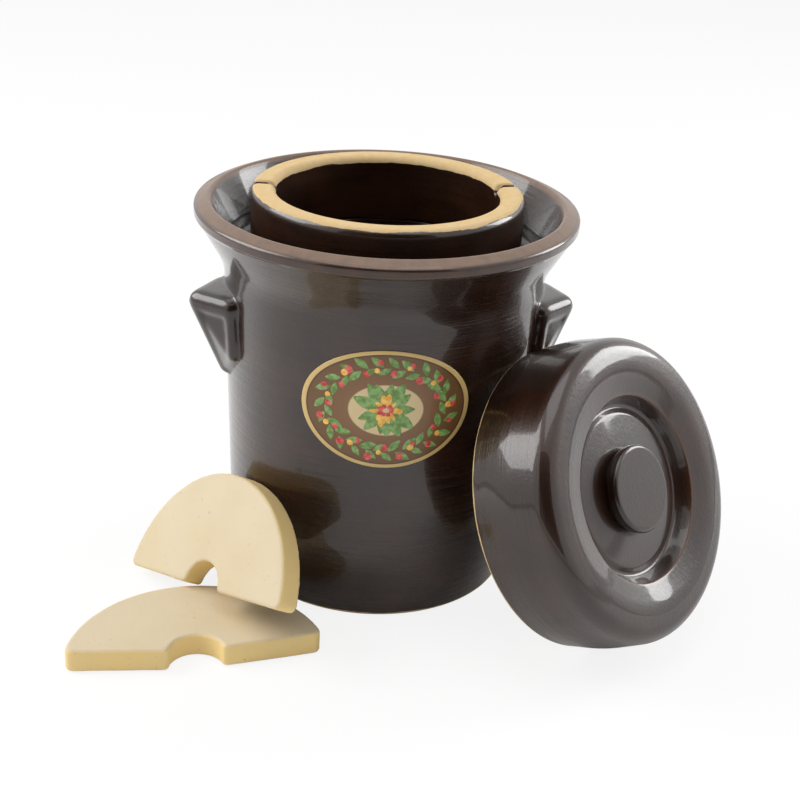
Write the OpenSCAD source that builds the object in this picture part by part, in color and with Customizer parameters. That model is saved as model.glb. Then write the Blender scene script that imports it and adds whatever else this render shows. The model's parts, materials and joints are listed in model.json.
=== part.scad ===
// Water-seal pickle crock with its lid and two half-moon weight stones,
// set out as for a display: the lid and one stone lean on the crock.
// Z is up, the base stands on Z = 0 and the axis of the pot is the Z axis.

/* [Pot wall] */
// Radius of the flat base
foot_r = 91.5; // [84:0.5:98]
// Radius of the wall where the lower curve ends
belly_r = 101; // [99:0.5:106]
// Height at which the lower curve ends
belly_z = 61; // [40:1:80]
// Radius of the wall just under the flared rim
shoulder_r = 105.8; // [104:0.1:110]
// Thickness of the thrown wall
wall_t = 9.5; // [7:0.5:12]
// Thickness of the floor
floor_t = 12; // [9:0.5:18]
// Rounding of the outer foot edge
foot_round = 3.5; // [1:0.5:8]
// Rounding inside, between floor and wall
inside_round = 24; // [10:1:40]

/* [Flared rim and gutter] */
// Outer radius of the rim
rim_r = 125; // [121:0.5:132]
// Height of the rim's outer edge
rim_z = 257; // [250:0.5:262]
// Height of the upright band round the rim
rim_band = 5.5; // [4:0.5:8]
// Step from the flare out to the band
rim_step = 1.8; // [1:0.1:2.5]
// Width of the rim's top face
lip_w = 10.2; // [8:0.1:12]
// Rise of the top face from its outer to its inner edge
lip_rise = 4.2; // [1:0.1:6]
// Rounding of the rim's two top edges
lip_round = 2.6; // [1:0.1:3]
// Lean of the flare from upright
flare_angle = 30; // [25:1:34]
// Bend radius between wall and flare
flare_bend = 40; // [20:1:60]
// Height of the gutter's floor
gutter_z = 223; // [219:0.5:228]
// Radius of the gutter's outer wall at its floor
gutter_r = 101; // [99.5:0.5:103]
// Height of the upright part of the gutter's outer wall
gutter_upright = 10; // [6:1:14]
// Rounding at the bottom of the gutter
gutter_round = 5; // [2:0.5:6]
// Thickness of the ledge that carries the neck ring
ledge_t = 10; // [7:0.5:14]
// How far the ledge stops short of the mouth
ledge_back = 1.5; // [0.5:0.5:4]

/* [Neck ring] */
// Radius of the mouth
mouth_r = 72.6; // [68:0.2:76]
// Width of the ring's bare rim
neck_t = 16; // [10:0.5:17]
// Height of the ring above the gutter's floor
neck_h = 44.3; // [34:0.1:46]
// Rounding of the ring's top edges
neck_round = 5; // [1:0.5:5]
// Width of each gas notch
notch_w = 5.6; // [4:0.2:8]
// Depth of each gas notch
notch_d = 5.4; // [3:0.2:9]
// Direction of the first gas notch
notch_az_a = 180; // [150:1:210]
// Direction of the second gas notch
notch_az_b = 14; // [-30:1:30]

/* [Handles] */
// Direction of the first handle
handle_az_a = 195.5; // [185:1:215]
// Direction of the second handle
handle_az_b = -5; // [-5:1:25]
// How far the first handle stands out from the shoulder's radius
handle_reach_a = 24; // [16:0.5:30]
// How far the second handle stands out
handle_reach_b = 20.5; // [16:0.5:30]
// How far a handle's top lies under the start of the flare
handle_under = 15; // [8:0.5:24]
// Drop from there to the top of a handle's tip
handle_drop = 0.5; // [0:0.5:16]
// Height of a handle from its top to the end of its keel
handle_h = 59.5; // [56:1:80]
// Width of a handle along the wall
handle_w = 53; // [40:1:60]
// Half thickness of the hood's lip
handle_lip = 7.5; // [5:0.5:9]
// Half thickness of the side ridges
handle_ridge = 4; // [3:0.5:6]
// Half thickness of the keel where it ends on the wall
handle_keel = 5.5; // [3:0.5:7]

/* [Lid] */
// Outer radius of the skirt at its open edge
lid_r = 97.4; // [95:0.2:99]
// Thickness of the skirt
skirt_t = 6.4; // [4.5:0.1:6.6]
// Height of the lid's crest above the skirt's edge
lid_h = 58.5; // [56:0.5:66]
// How much narrower the skirt is at the shoulder
skirt_draft = 1.2; // [0:0.2:3]
// How far the skirt's bulge stands out beyond its open edge
skirt_bulge = 2.2; // [0:0.2:4]
// Height of the bulge above the open edge
bulge_z = 24; // [15:1:34]
// Bend radius of the bulge
bulge_bend = 90; // [40:10:120]
// Rounding of the lid's outer shoulder
lid_shoulder = 11.5; // [6:0.5:16]
// Drop from the crest to the line of the shoulder
shoulder_drop = 1; // [0:0.5:3]
// Radius of the crest ring
crest_r = 76; // [74:0.5:80]
// Rounding of the crest ring
crest_round = 38; // [10:1:60]
// Drop from the crest to the edge of the well
crest_drop = 4.5; // [2:0.5:6]
// Radius of the well round the knob
well_r = 59.5; // [54:0.5:64]
// Depth of the well's groove under the crest
well_d = 16; // [12:0.5:18]
// Radius of the raised middle of the well
boss_r = 49; // [40:0.5:52]
// Height of the raised middle above the groove
boss_h = 4.5; // [2:0.5:8]
// Fall of the raised middle from the knob out to its edge
boss_fall = 1.4; // [0:0.1:2]
// Thickness of the lid's top
lid_top_t = 8; // [6:0.5:10]
// Room between the lid's ceiling and the neck ring's rim
ceiling_room = 2; // [1:0.5:4]
// Rounding of the skirt's open edge
edge_round = 1.6; // [0.5:0.1:2]
// Radius of the knob at its top
knob_r = 28.1; // [22:0.1:32]
// Height of the knob above the boss
knob_h = 10.2; // [6:0.2:14]
// Undercut of the knob's base
knob_under = 2.6; // [0:0.2:5]
// Bend between the knob's undercut and its upright side
knob_bend = 3; // [1:0.5:4]
// Rounding of the knob's top edge
knob_round = 4; // [1:0.5:4]

/* [Leaning lid] */
// Lean of the lid's open face from upright
lid_lean = 25.5; // [12:0.1:35]
// Direction that the knob faces
lid_face_az = -39; // [-60:1:-20]
// Direction in which the lid stands from the pot
lid_place_az = -29.5; // [-50:0.1:-10]

/* [Weight stones] */
// Radius of a stone's round side
stone_r = 81.8; // [72:0.1:84]
// Thickness of a stone
stone_t = 16; // [12:0.2:22]
// How far the cut side lies from the centre of the round side
stone_cut = 5.4; // [0:0.2:8]
// Radius of the finger notch
stone_notch_r = 17; // [10:0.5:22]
// Rounding of a stone's two sharp corners
stone_corner = 5; // [3:0.5:10]
// Rounding where the notch meets the cut side
stone_lip = 3.5; // [3:0.5:6]
// Rounding of a stone's face edges
stone_bevel = 1.8; // [0.8:0.1:2.5]

/* [Leaning stone] */
// Angle by which each half of its cut side falls back
lean_relief = 0.5; // [0:0.5:6]
// Direction of the leaning stone's cut side
lean_yaw = -45.7; // [-60:0.1:-30]
// Rise of the cut side from its lower to its higher end
lean_tilt = 14.5; // [9:0.5:20]
// Angle between the stone's face and the floor
lean_pitch = 59; // [50:0.1:72]
// Place of the stone along the cut side's direction
lean_shift = 3; // [-10:1:15]

/* [Flat stone] */
// Angle by which each half of its cut side falls back
flat_relief = 6.5; // [0:0.5:8]
// Direction of the flat stone's cut side
flat_yaw = 12; // [0:0.1:25]
// Place of the stone along the cut side's direction
flat_shift = -136.5; // [-145:0.1:-120]

/* [Label] */
// Width of the oval label along the wall
label_w = 108; // [60:1:120]
// Height of the oval label
label_h = 80.4; // [40:0.2:90]
// Thickness of the label
label_t = 0.5; // [0.3:0.1:1]
// Thickness of the glue under the label
label_glue = 0.2; // [0.1:0.05:0.4]
// How far the label's middle lies under the start of the flare
label_under = 62.3; // [55:0.1:90]
// Direction that the label faces
label_az = -87.3; // [-110:0.1:-70]

/* [Fits] */
// Gap left where a loose piece leans on another
contact_gap = 0.35; // [0.2:0.05:0.6]

/* [Hidden] */
$fn = 96;
round_steps = 6;
blend_fn = 24;
margin = 20;
solve_steps = 22;

// Colours
glaze = [0.13, 0.06, 0.035];
glaze_red = [0.2, 0.09, 0.05];
buff = [0.9, 0.8, 0.6];
stone_buff = [0.88, 0.8, 0.64];
label_brown = [0.42, 0.25, 0.14];

// Levels and radii worked out from the sizes above
neck_r = mouth_r + neck_t;
neck_top = gutter_z + neck_h;
ledge_z = gutter_z - ledge_t;
ledge_r = mouth_r + ledge_back;
lip_top = rim_z + lip_rise;
band_z = rim_z - rim_band;
flare_r = rim_r - rim_step;
// Height at which the wall's line and the flare's line cross
flare_z = band_z - rim_step - (flare_r - shoulder_r) / tan(flare_angle);
// Radius of the long curve between base and belly
belly_in = belly_r - foot_r;
curve_r = (belly_z * belly_z + belly_in * belly_in) / (2 * belly_in);
curve_steps = 8;

// Turning a point about one axis
function turn_x(p, a) = [p.x, p.y * cos(a) - p.z * sin(a), p.y * sin(a) + p.z * cos(a)];
function turn_y(p, a) = [p.x * cos(a) + p.z * sin(a), p.y, p.z * cos(a) - p.x * sin(a)];
function turn_z(p, a) = [p.x * cos(a) - p.y * sin(a), p.x * sin(a) + p.y * cos(a), p.z];
function unit(v) = v / norm(v);
function arc(c, r, a0, a1, n) =
    [for (i = [0:n]) c + r * [cos(a0 + (a1 - a0) * i / n), sin(a0 + (a1 - a0) * i / n)]];

// A rounding takes at most this share of the sides it lies between
side_share = 0.49;
// Roundings smaller than this, or on a corner straighter than this half angle, are left out
least_r = 0.01;
straight_half = 89.9;
// A corner [x, y, radius] between its neighbours, rounded, or kept sharp where the radius is 0
function corner(a, p, b) =
    let (q = [p.x, p.y], u = unit([a.x, a.y] - q), v = unit([b.x, b.y] - q),
         half = acos(u * v) / 2,
         reach = min(norm([a.x, a.y] - q), norm([b.x, b.y] - q)) * side_share,
         r = min(p.z, reach * tan(half)))
    r < least_r || half > straight_half ? [q] :
    let (c = q + unit(u + v) * r / sin(half), s = q + u * r / tan(half) - c,
         e = q + v * r / tan(half) - c, a0 = atan2(s.y, s.x),
         swing = (atan2(e.y, e.x) - a0 + 540) % 360 - 180)
    arc(c, r, a0, a0 + swing, round_steps);
function rounded(pts) =
    [for (i = [0:len(pts) - 1])
        each corner(pts[(i + len(pts) - 1) % len(pts)], pts[i], pts[(i + 1) % len(pts)])];

// Outer radius of the pot's wall at a height below the flare
function wall_r(z) =
    z < belly_z ? belly_r - curve_r + sqrt(curve_r * curve_r - pow(belly_z - z, 2)) :
    belly_r + (shoulder_r - belly_r) * (z - belly_z) / (flare_z - belly_z);

// Value at which f rises past the contact gap, between lo and hi
function settle(f, lo, hi, n = solve_steps) =
    let (mid = (lo + hi) / 2)
    n == 0 ? mid : f(mid) > contact_gap ? settle(f, lo, mid, n - 1) : settle(f, mid, hi, n - 1);

// The pot's outside, from the base up to the rim's inner edge, as corners
outside = concat(
    [[0, 0, 0], [foot_r, 0, foot_round]],
    [for (i = [1:curve_steps]) let (z = belly_z * i / curve_steps) [wall_r(z), z, 0]],
    [[shoulder_r, flare_z, flare_bend], [flare_r, band_z - rim_step, rim_step],
     [rim_r, band_z, rim_step], [rim_r, rim_z, lip_round],
     [rim_r - lip_w, lip_top, lip_round]]);
inside = [
    [gutter_r, gutter_z + gutter_upright, gutter_upright], [gutter_r, gutter_z, gutter_round],
    [ledge_r, gutter_z, 0], [ledge_r, ledge_z, ledge_back],
    [shoulder_r - wall_t, ledge_z, wall_t], [belly_r - wall_t, belly_z, 0],
    [foot_r - wall_t, floor_t, inside_round], [0, floor_t, 0]];

module pot_outside() rotate_extrude() polygon(rounded(concat(outside, [[0, lip_top, 0]])));

module crock_body() {
    color(glaze) rotate_extrude() polygon(rounded(concat(outside, inside)));
}

// One gas notch: a round-bottomed cut across the ring's rim
module notch(az) {
    rotate([0, 0, az]) translate([mouth_r - margin, 0, neck_top - notch_d + notch_w / 2]) {
        rotate([0, 90, 0]) cylinder(h = neck_t + 2 * margin, d = notch_w);
        translate([0, -notch_w / 2, 0]) cube([neck_t + 2 * margin, notch_w, notch_d]);
    }
}

module neck_ring() {
    color(buff) difference() {
        rotate_extrude() polygon(rounded([
            [mouth_r, gutter_z, 0], [neck_r, gutter_z, 0],
            [neck_r, neck_top, neck_round], [mouth_r, neck_top, neck_round]]));
        for (az = [notch_az_a, notch_az_b]) notch(az);
    }
}

// Lug handle: a hood pulled out of the wall, a keel under its middle and a ridge down each
// side, so that a finger sits in the hollow on either side of the keel
handle_top = flare_z - handle_under;
tip_z = handle_top - handle_drop - handle_lip;
hood_z = handle_top - handle_lip;
hood_y = handle_w / 2 - handle_lip;
keel_end_z = handle_top - handle_h + handle_keel;
ridge_y = handle_w / 2 - handle_ridge;
ridge_bend_z = (hood_z + 2 * keel_end_z) / 3;
module ball(r, y, z, size) translate([r, y, z]) sphere(r = size, $fn = blend_fn);

module handle(az, reach) {
    tip_r = shoulder_r + reach - handle_lip;
    rotate([0, 0, az]) {
        hull() {
            ball(tip_r, 0, tip_z, handle_lip);
            ball(wall_r(hood_z), hood_y, hood_z, handle_lip);
            ball(wall_r(hood_z), -hood_y, hood_z, handle_lip);
        }
        hull() {
            ball(tip_r, 0, tip_z, handle_lip);
            ball(wall_r(keel_end_z), 0, keel_end_z, handle_keel);
        }
        for (side = [-1, 1]) {
            hull() {
                ball(wall_r(hood_z) + handle_ridge, side * ridge_y, hood_z, handle_ridge);
                ball(wall_r(ridge_bend_z), side * ridge_y, ridge_bend_z, handle_ridge);
            }
            hull() {
                ball(wall_r(ridge_bend_z), side * ridge_y, ridge_bend_z, handle_ridge);
                ball(wall_r(keel_end_z), side * handle_keel / 2, keel_end_z, handle_ridge);
            }
        }
    }
}
module handle_left() color(glaze) difference() {
    handle(handle_az_a, handle_reach_a);
    pot_outside();
}
module handle_right() color(glaze) difference() {
    handle(handle_az_b, handle_reach_b);
    pot_outside();
}

// The lid in its own frame: the skirt's open edge lies on Z = 0, the knob is up
skirt_top_r = lid_r - skirt_draft;
well_edge_z = lid_h - crest_drop;
groove_z = lid_h - well_d;
boss_z = groove_z + boss_h;
ceiling_z = neck_h + ceiling_room;
ceiling_in_r = mouth_r - ceiling_room;
well_ceiling_z = groove_z - lid_top_t;
groove_r = (well_r + boss_r) / 2;
lid_outline = [
    [0, boss_z, 0], [knob_r, boss_z, 0], [boss_r, boss_z - boss_fall, boss_h],
    [groove_r, groove_z, boss_h], [well_r, well_edge_z, boss_h / 2],
    [crest_r, lid_h, crest_round], [skirt_top_r, lid_h - shoulder_drop, lid_shoulder],
    [lid_r + skirt_bulge, bulge_z, bulge_bend],
    [lid_r, 0, edge_round], [lid_r - skirt_t, 0, edge_round],
    [lid_r + skirt_bulge - skirt_t, bulge_z, bulge_bend],
    [lid_r - skirt_t, ceiling_z, ceiling_room], [ceiling_in_r, ceiling_z, ceiling_room],
    [well_r, well_ceiling_z, lid_top_t], [0, well_ceiling_z, 0]];

// The leaning lid stands on its skirt's edge, and its upper edge lies against the wall
edge_flare = atan(skirt_bulge / bulge_z);
edge_ring_r = lid_r + edge_round * (tan(edge_flare) - 1 / cos(edge_flare));
// The lower part of the edge, up to this angle above the floor, cannot reach the wall
edge_from = 20;
lid_axis = [cos(lid_lean) * cos(lid_face_az), cos(lid_lean) * sin(lid_face_az), sin(lid_lean)];
lid_side = [-sin(lid_face_az), cos(lid_face_az), 0];
lid_up = cross(lid_axis, lid_side);
lid_z = edge_ring_r * cos(lid_lean) + edge_round * (1 - sin(lid_lean));
function lid_at(d) = [d * cos(lid_place_az), d * sin(lid_place_az), lid_z];
function edge_at(d, a) =
    lid_at(d) + edge_round * lid_axis + edge_ring_r * (cos(a) * lid_side + sin(a) * lid_up);
function lid_gap(d) =
    min([for (a = [edge_from:180 - edge_from]) let (p = edge_at(d, a)) norm([p.x, p.y]) - wall_r(p.z)]) - edge_round;
lid_d = settle(function (d) lid_gap(d), foot_r, shoulder_r + 2 * lid_r);

module place_lid() {
    translate(lid_at(lid_d)) rotate([0, 90 - lid_lean, lid_face_az]) children();
}
module lid_shell() {
    color(glaze) place_lid() rotate_extrude() polygon(rounded(lid_outline));
}
module lid_knob() {
    color(glaze_red) place_lid() rotate_extrude() polygon(rounded([
        [0, boss_z, 0], [knob_r - knob_under, boss_z, 0], [knob_r, boss_z + knob_h / 2, knob_bend],
        [knob_r, boss_z + knob_h, knob_round], [0, boss_z + knob_h, 0]]));
}

// Outline of a half-moon stone, drawn in by i all round. X runs along the cut side,
// and the round side faces +Y round the origin.
// The relief is the angle by which each half of the cut side falls back.
function cut_dir(relief) = [cos(relief), sin(relief)];
function cut_in(relief) = [-sin(relief), cos(relief)];
// Point on the line at distance off from the cut side that lies r from the point c
function on_cut(relief, off, c, r) =
    let (along = cut_dir(relief), w = [0, stone_cut] + off * cut_in(relief) - c, s = w * along)
    c + w + (sqrt(s * s - w * w + r * r) - s) * along;
notch_c = [0, stone_cut];
function corner_at(relief) = on_cut(relief, stone_corner, [0, 0], stone_r - stone_corner);
function lip_at(relief) = on_cut(relief, stone_lip, notch_c, stone_notch_r + stone_lip);
arc_steps = 44;
notch_steps = 14;
// Angles left free between an arc and the small roundings beside it
arc_skip = 2;
notch_skip = 4;
// The straight cut sides get as many points as pair each outer point with an inner one
cut_steps = (arc_steps - notch_steps) / 2;
function flip(p) = [-p.x, p.y];
function line(a, b, n) = [for (i = [1:n]) a + (b - a) * i / (n + 1)];
function half_moon(relief, corner_r, r, lip_r, notch_r) =
    let (corner_c = corner_at(relief), corner_a = atan2(corner_c.y, corner_c.x),
         lip_c = lip_at(relief), lip_a = atan2(lip_c.y - notch_c.y, lip_c.x),
         corner_end = corner_c - corner_r * cut_in(relief), lip_end = lip_c - lip_r * cut_in(relief))
    concat(
        arc(corner_c, corner_r, relief - 90, corner_a, round_steps),
        arc([0, 0], r, corner_a + arc_skip, 180 - corner_a - arc_skip, arc_steps),
        arc(flip(corner_c), corner_r, 180 - corner_a, 270 - relief, round_steps),
        line(flip(corner_end), flip(lip_end), cut_steps),
        arc(flip(lip_c), lip_r, 270 - relief, 360 - lip_a, round_steps),
        arc(notch_c, notch_r, 180 - lip_a - notch_skip, lip_a + notch_skip, notch_steps),
        arc(lip_c, lip_r, 180 + lip_a, 270 + relief, round_steps),
        line(lip_end, corner_end, cut_steps));
function outline(relief, i) =
    half_moon(relief, stone_corner - i, stone_r - i, stone_lip - i, stone_notch_r + i);

// Rings of the rounded stone from its lower to its upper face, as [inset, height]
bevel_steps = 3;
bevel_rings = [for (k = [0:bevel_steps]) let (a = 90 * k / bevel_steps)
    [stone_bevel * (1 - sin(a)), stone_bevel * (1 - cos(a))]];
stone_rings = concat(bevel_rings,
    [for (k = [bevel_steps:-1:0]) [bevel_rings[k].x, stone_t - bevel_rings[k].y]]);
function stone_points(relief) =
    [for (ring = stone_rings) for (p = outline(relief, ring.x)) [p.x, p.y, ring.y]];
ring_n = len(outline(0, 0));

// A face of the stone is a strip between its round side and its cut side, alike on both halves
function face(first, k) = let (a = first + k, b = first + ring_n - 1 - k)
    k < ring_n / 4 ? [[a, b, a + 1], [a + 1, b, b - 1]] : [[a, b, b - 1], [a, b - 1, a + 1]];
function turned(t) = [t[0], t[2], t[1]];
module stone(relief) {
    last = (len(stone_rings) - 1) * ring_n;
    strips = [for (k = [0:ring_n / 2 - 2]) k];
    polyhedron(stone_points(relief), concat(
        [for (k = strips) for (t = face(0, k)) turned(t)],
        [for (k = strips) for (t = face(last, k)) t],
        [for (k = [0:len(stone_rings) - 2]) for (i = [0:ring_n - 1])
            let (j = (i + 1) % ring_n)
            [k * ring_n + i, (k + 1) * ring_n + i, (k + 1) * ring_n + j, k * ring_n + j]]));
}

// How far a point in a stone's own frame lies outside the stone, whose face edges are rounded
function stone_clear(p, relief, corner_c, lip_c) =
    let (q = [abs(p.x), p.y], w = q - corner_c, a = atan2(w.y, w.x),
         v = q - lip_c, b = atan2(v.y, v.x),
         cut = (stone_cut + q.x * tan(relief) - q.y) * cos(relief),
         notch = stone_notch_r - norm(q - notch_c),
         at_corner = a > relief - 90 && a < atan2(corner_c.y, corner_c.x),
         at_lip = b > atan2(lip_c.y - notch_c.y, lip_c.x) - 180 && b < relief - 90,
         side = (at_corner ? norm(w) - stone_corner : at_lip ? norm(v) - stone_lip :
                 max(cut, notch, norm(q) - stone_r)) + stone_bevel,
         face = max(p.z - stone_t, -p.z) + stone_bevel)
    min(max(side, face), 0) + norm([max(side, 0), max(face, 0)]) - stone_bevel;

// The leaning stone: its low end stands on the floor and its back lies against the wall
function lean_turn(p) = turn_z(turn_y(turn_x(p, lean_pitch), -lean_tilt), lean_yaw);
lean_points = [for (p = stone_points(lean_relief)) lean_turn(p)];
lean_z = -min([for (p = lean_points) p.z]);
function lean_at(d) =
    [lean_shift * cos(lean_yaw) + d * sin(lean_yaw),
     lean_shift * sin(lean_yaw) - d * cos(lean_yaw), lean_z];
function lean_gap(d) =
    let (o = lean_at(d))
    min([for (p = lean_points) norm([p.x + o.x, p.y + o.y]) - wall_r(p.z + o.z)]);
lean_o = lean_at(settle(function (d) lean_gap(d), foot_r, shoulder_r + 2 * stone_r));
function to_lean(p) = turn_x(turn_y(turn_z(p - lean_o, -lean_yaw), lean_tilt), -lean_pitch);

// The flat stone is pushed in under the leaning one until they meet
function flat_at(d) =
    [flat_shift * cos(flat_yaw) + d * sin(flat_yaw),
     flat_shift * sin(flat_yaw) - d * cos(flat_yaw), 0];
edge_samples = 180;
edge_rings = [for (k = [0:bevel_steps]) stone_rings[len(stone_rings) - 1 - k]];
flat_edge = [for (ring = edge_rings) for (p = arc([0, 0], stone_r - ring.x, 0, 180, edge_samples))
    [p.x, p.y, ring.y]];
function lean_clear(p) = stone_clear(p, lean_relief, corner_at(lean_relief), lip_at(lean_relief));
function flat_clear(p) = stone_clear(p, flat_relief, corner_at(flat_relief), lip_at(flat_relief));
function flat_gap(d) =
    let (o = flat_at(d))
    min(min([for (p = flat_edge) lean_clear(to_lean(turn_z(p, flat_yaw) + o))]),
        min([for (p = lean_points) flat_clear(turn_z(p + lean_o - o, -flat_yaw))]));
flat_o = flat_at(settle(function (d) flat_gap(d), shoulder_r, shoulder_r + 2 * stone_r));

module weight_stone_lower() {
    color(stone_buff) translate(flat_o) rotate([0, 0, flat_yaw]) stone(flat_relief);
}
module weight_stone_upper() {
    color(stone_buff) translate(lean_o) rotate([0, 0, lean_yaw]) rotate([0, -lean_tilt, 0])
        rotate([lean_pitch, 0, 0]) stone(lean_relief);
}

// The label is a thin oval bent round the wall
label_z = flare_z - label_under;
label_r = wall_r(label_z);
label_steps = 72;
label_oval = [for (i = [0:label_steps - 1]) let (a = 360 * i / label_steps)
    [label_r * sin(label_w / 2 * cos(a) * 180 / (PI * label_r)), label_h / 2 * sin(a)]];
// The straight part of the pot's outside, swelled by off
module wall_cone(off) translate([0, 0, belly_z])
    cylinder(h = flare_z - belly_z, r1 = belly_r + off, r2 = shoulder_r + off);
module label() {
    color(label_brown) intersection() {
        rotate([0, 0, label_az]) translate([0, 0, label_z]) rotate([90, 0, 90])
            linear_extrude(shoulder_r + margin) polygon(label_oval);
        difference() {
            wall_cone(label_glue + label_t);
            wall_cone(label_glue);
        }
    }
}

crock_body();
neck_ring();
handle_left();
handle_right();
lid_shell();
lid_knob();
weight_stone_lower();
weight_stone_upper();
label();
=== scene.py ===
"""Looks of a water-seal pickle crock with its leaning lid and two weight stones."""

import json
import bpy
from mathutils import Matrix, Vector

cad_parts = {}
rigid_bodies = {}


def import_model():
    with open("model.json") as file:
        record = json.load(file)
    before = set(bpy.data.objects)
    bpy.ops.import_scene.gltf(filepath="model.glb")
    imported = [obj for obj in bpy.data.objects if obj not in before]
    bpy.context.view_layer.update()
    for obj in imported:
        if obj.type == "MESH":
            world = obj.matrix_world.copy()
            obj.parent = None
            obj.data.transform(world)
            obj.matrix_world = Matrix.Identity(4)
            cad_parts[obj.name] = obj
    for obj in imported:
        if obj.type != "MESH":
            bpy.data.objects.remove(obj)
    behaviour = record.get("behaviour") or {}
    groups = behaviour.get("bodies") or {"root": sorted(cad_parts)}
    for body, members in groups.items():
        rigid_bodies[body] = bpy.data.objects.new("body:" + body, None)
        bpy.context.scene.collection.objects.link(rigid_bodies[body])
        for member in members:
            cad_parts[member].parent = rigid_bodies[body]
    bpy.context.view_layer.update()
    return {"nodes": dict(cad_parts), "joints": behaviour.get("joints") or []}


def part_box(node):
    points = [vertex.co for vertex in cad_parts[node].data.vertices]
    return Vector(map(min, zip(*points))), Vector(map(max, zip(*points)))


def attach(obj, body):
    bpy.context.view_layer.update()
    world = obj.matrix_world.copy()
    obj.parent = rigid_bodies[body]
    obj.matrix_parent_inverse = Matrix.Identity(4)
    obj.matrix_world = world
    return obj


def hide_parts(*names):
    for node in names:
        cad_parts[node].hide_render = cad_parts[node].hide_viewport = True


bl_info = {
    "name": "Pickle crock",
    "version": (1, 0, 0),
    "blender": (4, 5, 0),
    "location": "3D View > Sidebar > Crock",
    "description": "Dresses the crock, its lid, stones and label, and sets up the studio",
    "category": "Object",
}

from math import acos, atan2, cos, pi, radians, sin, sqrt, tan

import bmesh
import bpy
from bpy.props import (
    FloatProperty,
    FloatVectorProperty,
    IntProperty,
    PointerProperty,
)
from mathutils import Matrix, Vector, noise

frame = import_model()
MM = 0.001

POT_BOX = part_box("crock_body")
NECK_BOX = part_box("neck_ring")
LID_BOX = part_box("lid_shell")
LABEL_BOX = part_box("label")
RIM_RADIUS = POT_BOX[1].x
RIM_TOP = POT_BOX[1].z
NECK_RADIUS = NECK_BOX[1].x
NECK_TOP = NECK_BOX[1].z
GUTTER_FLOOR = NECK_BOX[0].z
LABEL_MIDDLE = (LABEL_BOX[0].z + LABEL_BOX[1].z) / 2


def length(name, text, value, **more):
    """A size in metres that a user may change."""
    return FloatProperty(
        name=name, description=text, default=value, unit="LENGTH", precision=4, **more
    )


def turn(name, text, value):
    """An angle that a user may change."""
    return FloatProperty(
        name=name, description=text, default=radians(value), subtype="ANGLE"
    )


def colour(name, text, value):
    """A linear colour that a user may change."""
    return FloatVectorProperty(
        name=name, description=text, default=value, subtype="COLOR", size=3, min=0, max=1
    )


class CrockSizes(bpy.types.PropertyGroup):
    """Sizes of the pot, its neck ring and its handles."""

    foot_radius: length("Foot radius", "Radius of the flat base", 91.5 * MM)
    belly_radius: length("Belly radius", "Radius where the lower curve ends", 101 * MM)
    belly_height: length("Belly height", "Height where the lower curve ends", 61 * MM)
    shoulder_radius: length("Shoulder radius", "Radius just under the flare", 105.8 * MM)
    wall: length("Wall", "Thickness of the thrown wall", 9.5 * MM)
    floor: length("Floor", "Thickness of the pot's floor", 12 * MM)
    rim_band: length("Rim band", "Height of the upright band round the rim", 5.5 * MM)
    rim_step: length("Rim step", "Step from the flare out to the band", 1.8 * MM)
    lip_width: length("Lip width", "Width of the rim's top face", 10.2 * MM)
    lip_rise: length("Lip rise", "Rise of the top face towards the gutter", 4.2 * MM)
    lip_round: length("Lip rounding", "Rounding of the rim's top edges", 2.6 * MM)
    flare_angle: turn("Flare angle", "Lean of the flare from upright", 30)
    flare_bend: length("Flare bend", "Bend radius between wall and flare", 40 * MM)
    gutter_radius: length("Gutter radius", "Radius of the gutter's outer wall", 101 * MM)
    gutter_upright: length("Gutter upright", "Height of its upright part", 10 * MM)
    ledge: length("Ledge", "Thickness of the ledge under the neck ring", 10 * MM)
    mouth_radius: length("Mouth radius", "Radius of the mouth", 72.6 * MM)
    neck_round: length("Neck rounding", "Rounding of the neck ring's rim", 5 * MM)
    notch_width: length("Notch width", "Width of a gas notch", 5.6 * MM)
    notch_depth: length("Notch depth", "Depth of a gas notch", 5.4 * MM)
    left_notch: turn("Left notch", "Direction of the first gas notch", 180)
    right_notch: turn("Right notch", "Direction of the second gas notch", 14)
    left_handle: turn("Left handle", "Direction of the first handle", 195.5)
    right_handle: turn("Right handle", "Direction of the second handle", -5)
    left_reach: length("Left reach", "How far the first handle stands out", 24 * MM)
    right_reach: length("Right reach", "How far the second handle stands out", 20.5 * MM)
    handle_under: length("Handle drop", "From the flare down to a handle's top", 15 * MM)
    handle_width: length("Handle width", "Width of a handle along the wall", 53 * MM)
    handle_height: length("Handle height", "Height of a handle", 59.5 * MM)
    handle_lip: length("Handle lip", "Half thickness of the hood's lip", 7.5 * MM)
    handle_ridge: length("Handle ridge", "Half thickness of the side ridges", 4 * MM)
    handle_keel: length("Handle keel", "Half thickness of the keel's end", 5.5 * MM)
    handle_cell: length("Handle cell", "Cell size of the handles' kneaded clay", 0.9 * MM)
    handle_rounds: IntProperty(
        name="Handle smoothing", description="Rounds of smoothing of the handles", default=44
    )
    ring_depth: length("Ring depth", "Depth of the throwing rings", 0.16 * MM)
    ring_gap: length("Ring gap", "Height from one throwing ring to the next", 7 * MM)
    seed: IntProperty(name="Seed", description="Seed of the hand-thrown marks", default=5)


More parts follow.
